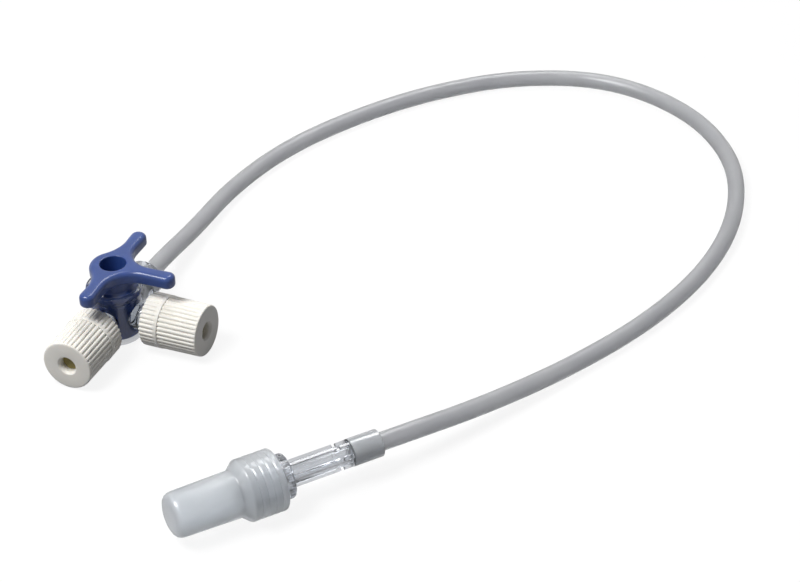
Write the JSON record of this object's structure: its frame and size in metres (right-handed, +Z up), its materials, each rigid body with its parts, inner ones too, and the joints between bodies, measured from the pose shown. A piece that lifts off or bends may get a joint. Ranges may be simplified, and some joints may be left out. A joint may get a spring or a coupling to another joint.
{
  "type": "three way stopcock with extension tube",
  "caption": "Clear stopcock with a three-arm blue handle, ribbed white stoppers on its ports, and a looped extension tube that ends in a capped luer lock connector.",
  "frame": {"origin": "centre of the barrel's foot, on the surface that the set lies on", "axes": "+Z up along the axis of the plug and handle, -Y out of the inline port, +X out of the side port, +Y out of the outlet that carries the tube"},
  "size_m": [0.1284, 0.2107, 0.0193],
  "materials": {
    "clear_body": "clear, polished",
    "blue_handle": "satin moulded",
    "white_stopper": "smooth moulded",
    "septum_rubber": "matte",
    "frosted_tube": "frosted, soft",
    "clear_hub": "clear, polished",
    "milky_cap": "milky, soft sheen"
  },
  "bodies": {
    "stopcock": {"housing": "clear_body", "extension_tube": "frosted_tube", "luer_hub": "clear_hub"},
    "handle": {"handle_plug": "blue_handle"},
    "stopper_inline": {"stopper_inline_base": "white_stopper", "stopper_inline_cap": "white_stopper", "stopper_inline_septum": "septum_rubber"},
    "stopper_side": {"stopper_side_base": "white_stopper", "stopper_side_cap": "white_stopper", "stopper_side_septum": "septum_rubber"},
    "collar": {"lock_collar": "clear_hub"},
    "protector": {"tip_protector": "milky_cap"}
  },
  "joints": [
    {"name": "handle_turn", "type": "hinge", "parent": "stopcock", "child": "handle", "pos_m": [0, 0, 0.00625], "axis": [0, 0, 1], "continuous": true},
    {"name": "inline_stopper_pull", "type": "slide", "parent": "stopcock", "child": "stopper_inline", "axis": [0, -1, 0], "range_m": [0, 0.012]},
    {"name": "side_stopper_pull", "type": "slide", "parent": "stopcock", "child": "stopper_side", "axis": [1, 0, 0], "range_m": [0, 0.012]},
    {"name": "collar_spin", "type": "hinge", "parent": "stopcock", "child": "collar", "pos_m": [0.0763, -0.0239, 0.00685], "axis": [0.6211, 0.7837, 0], "continuous": true},
    {"name": "protector_pull", "type": "slide", "parent": "collar", "child": "protector", "axis": [-0.6211, -0.7837, 0], "range_m": [0, 0.014]}
  ]
}
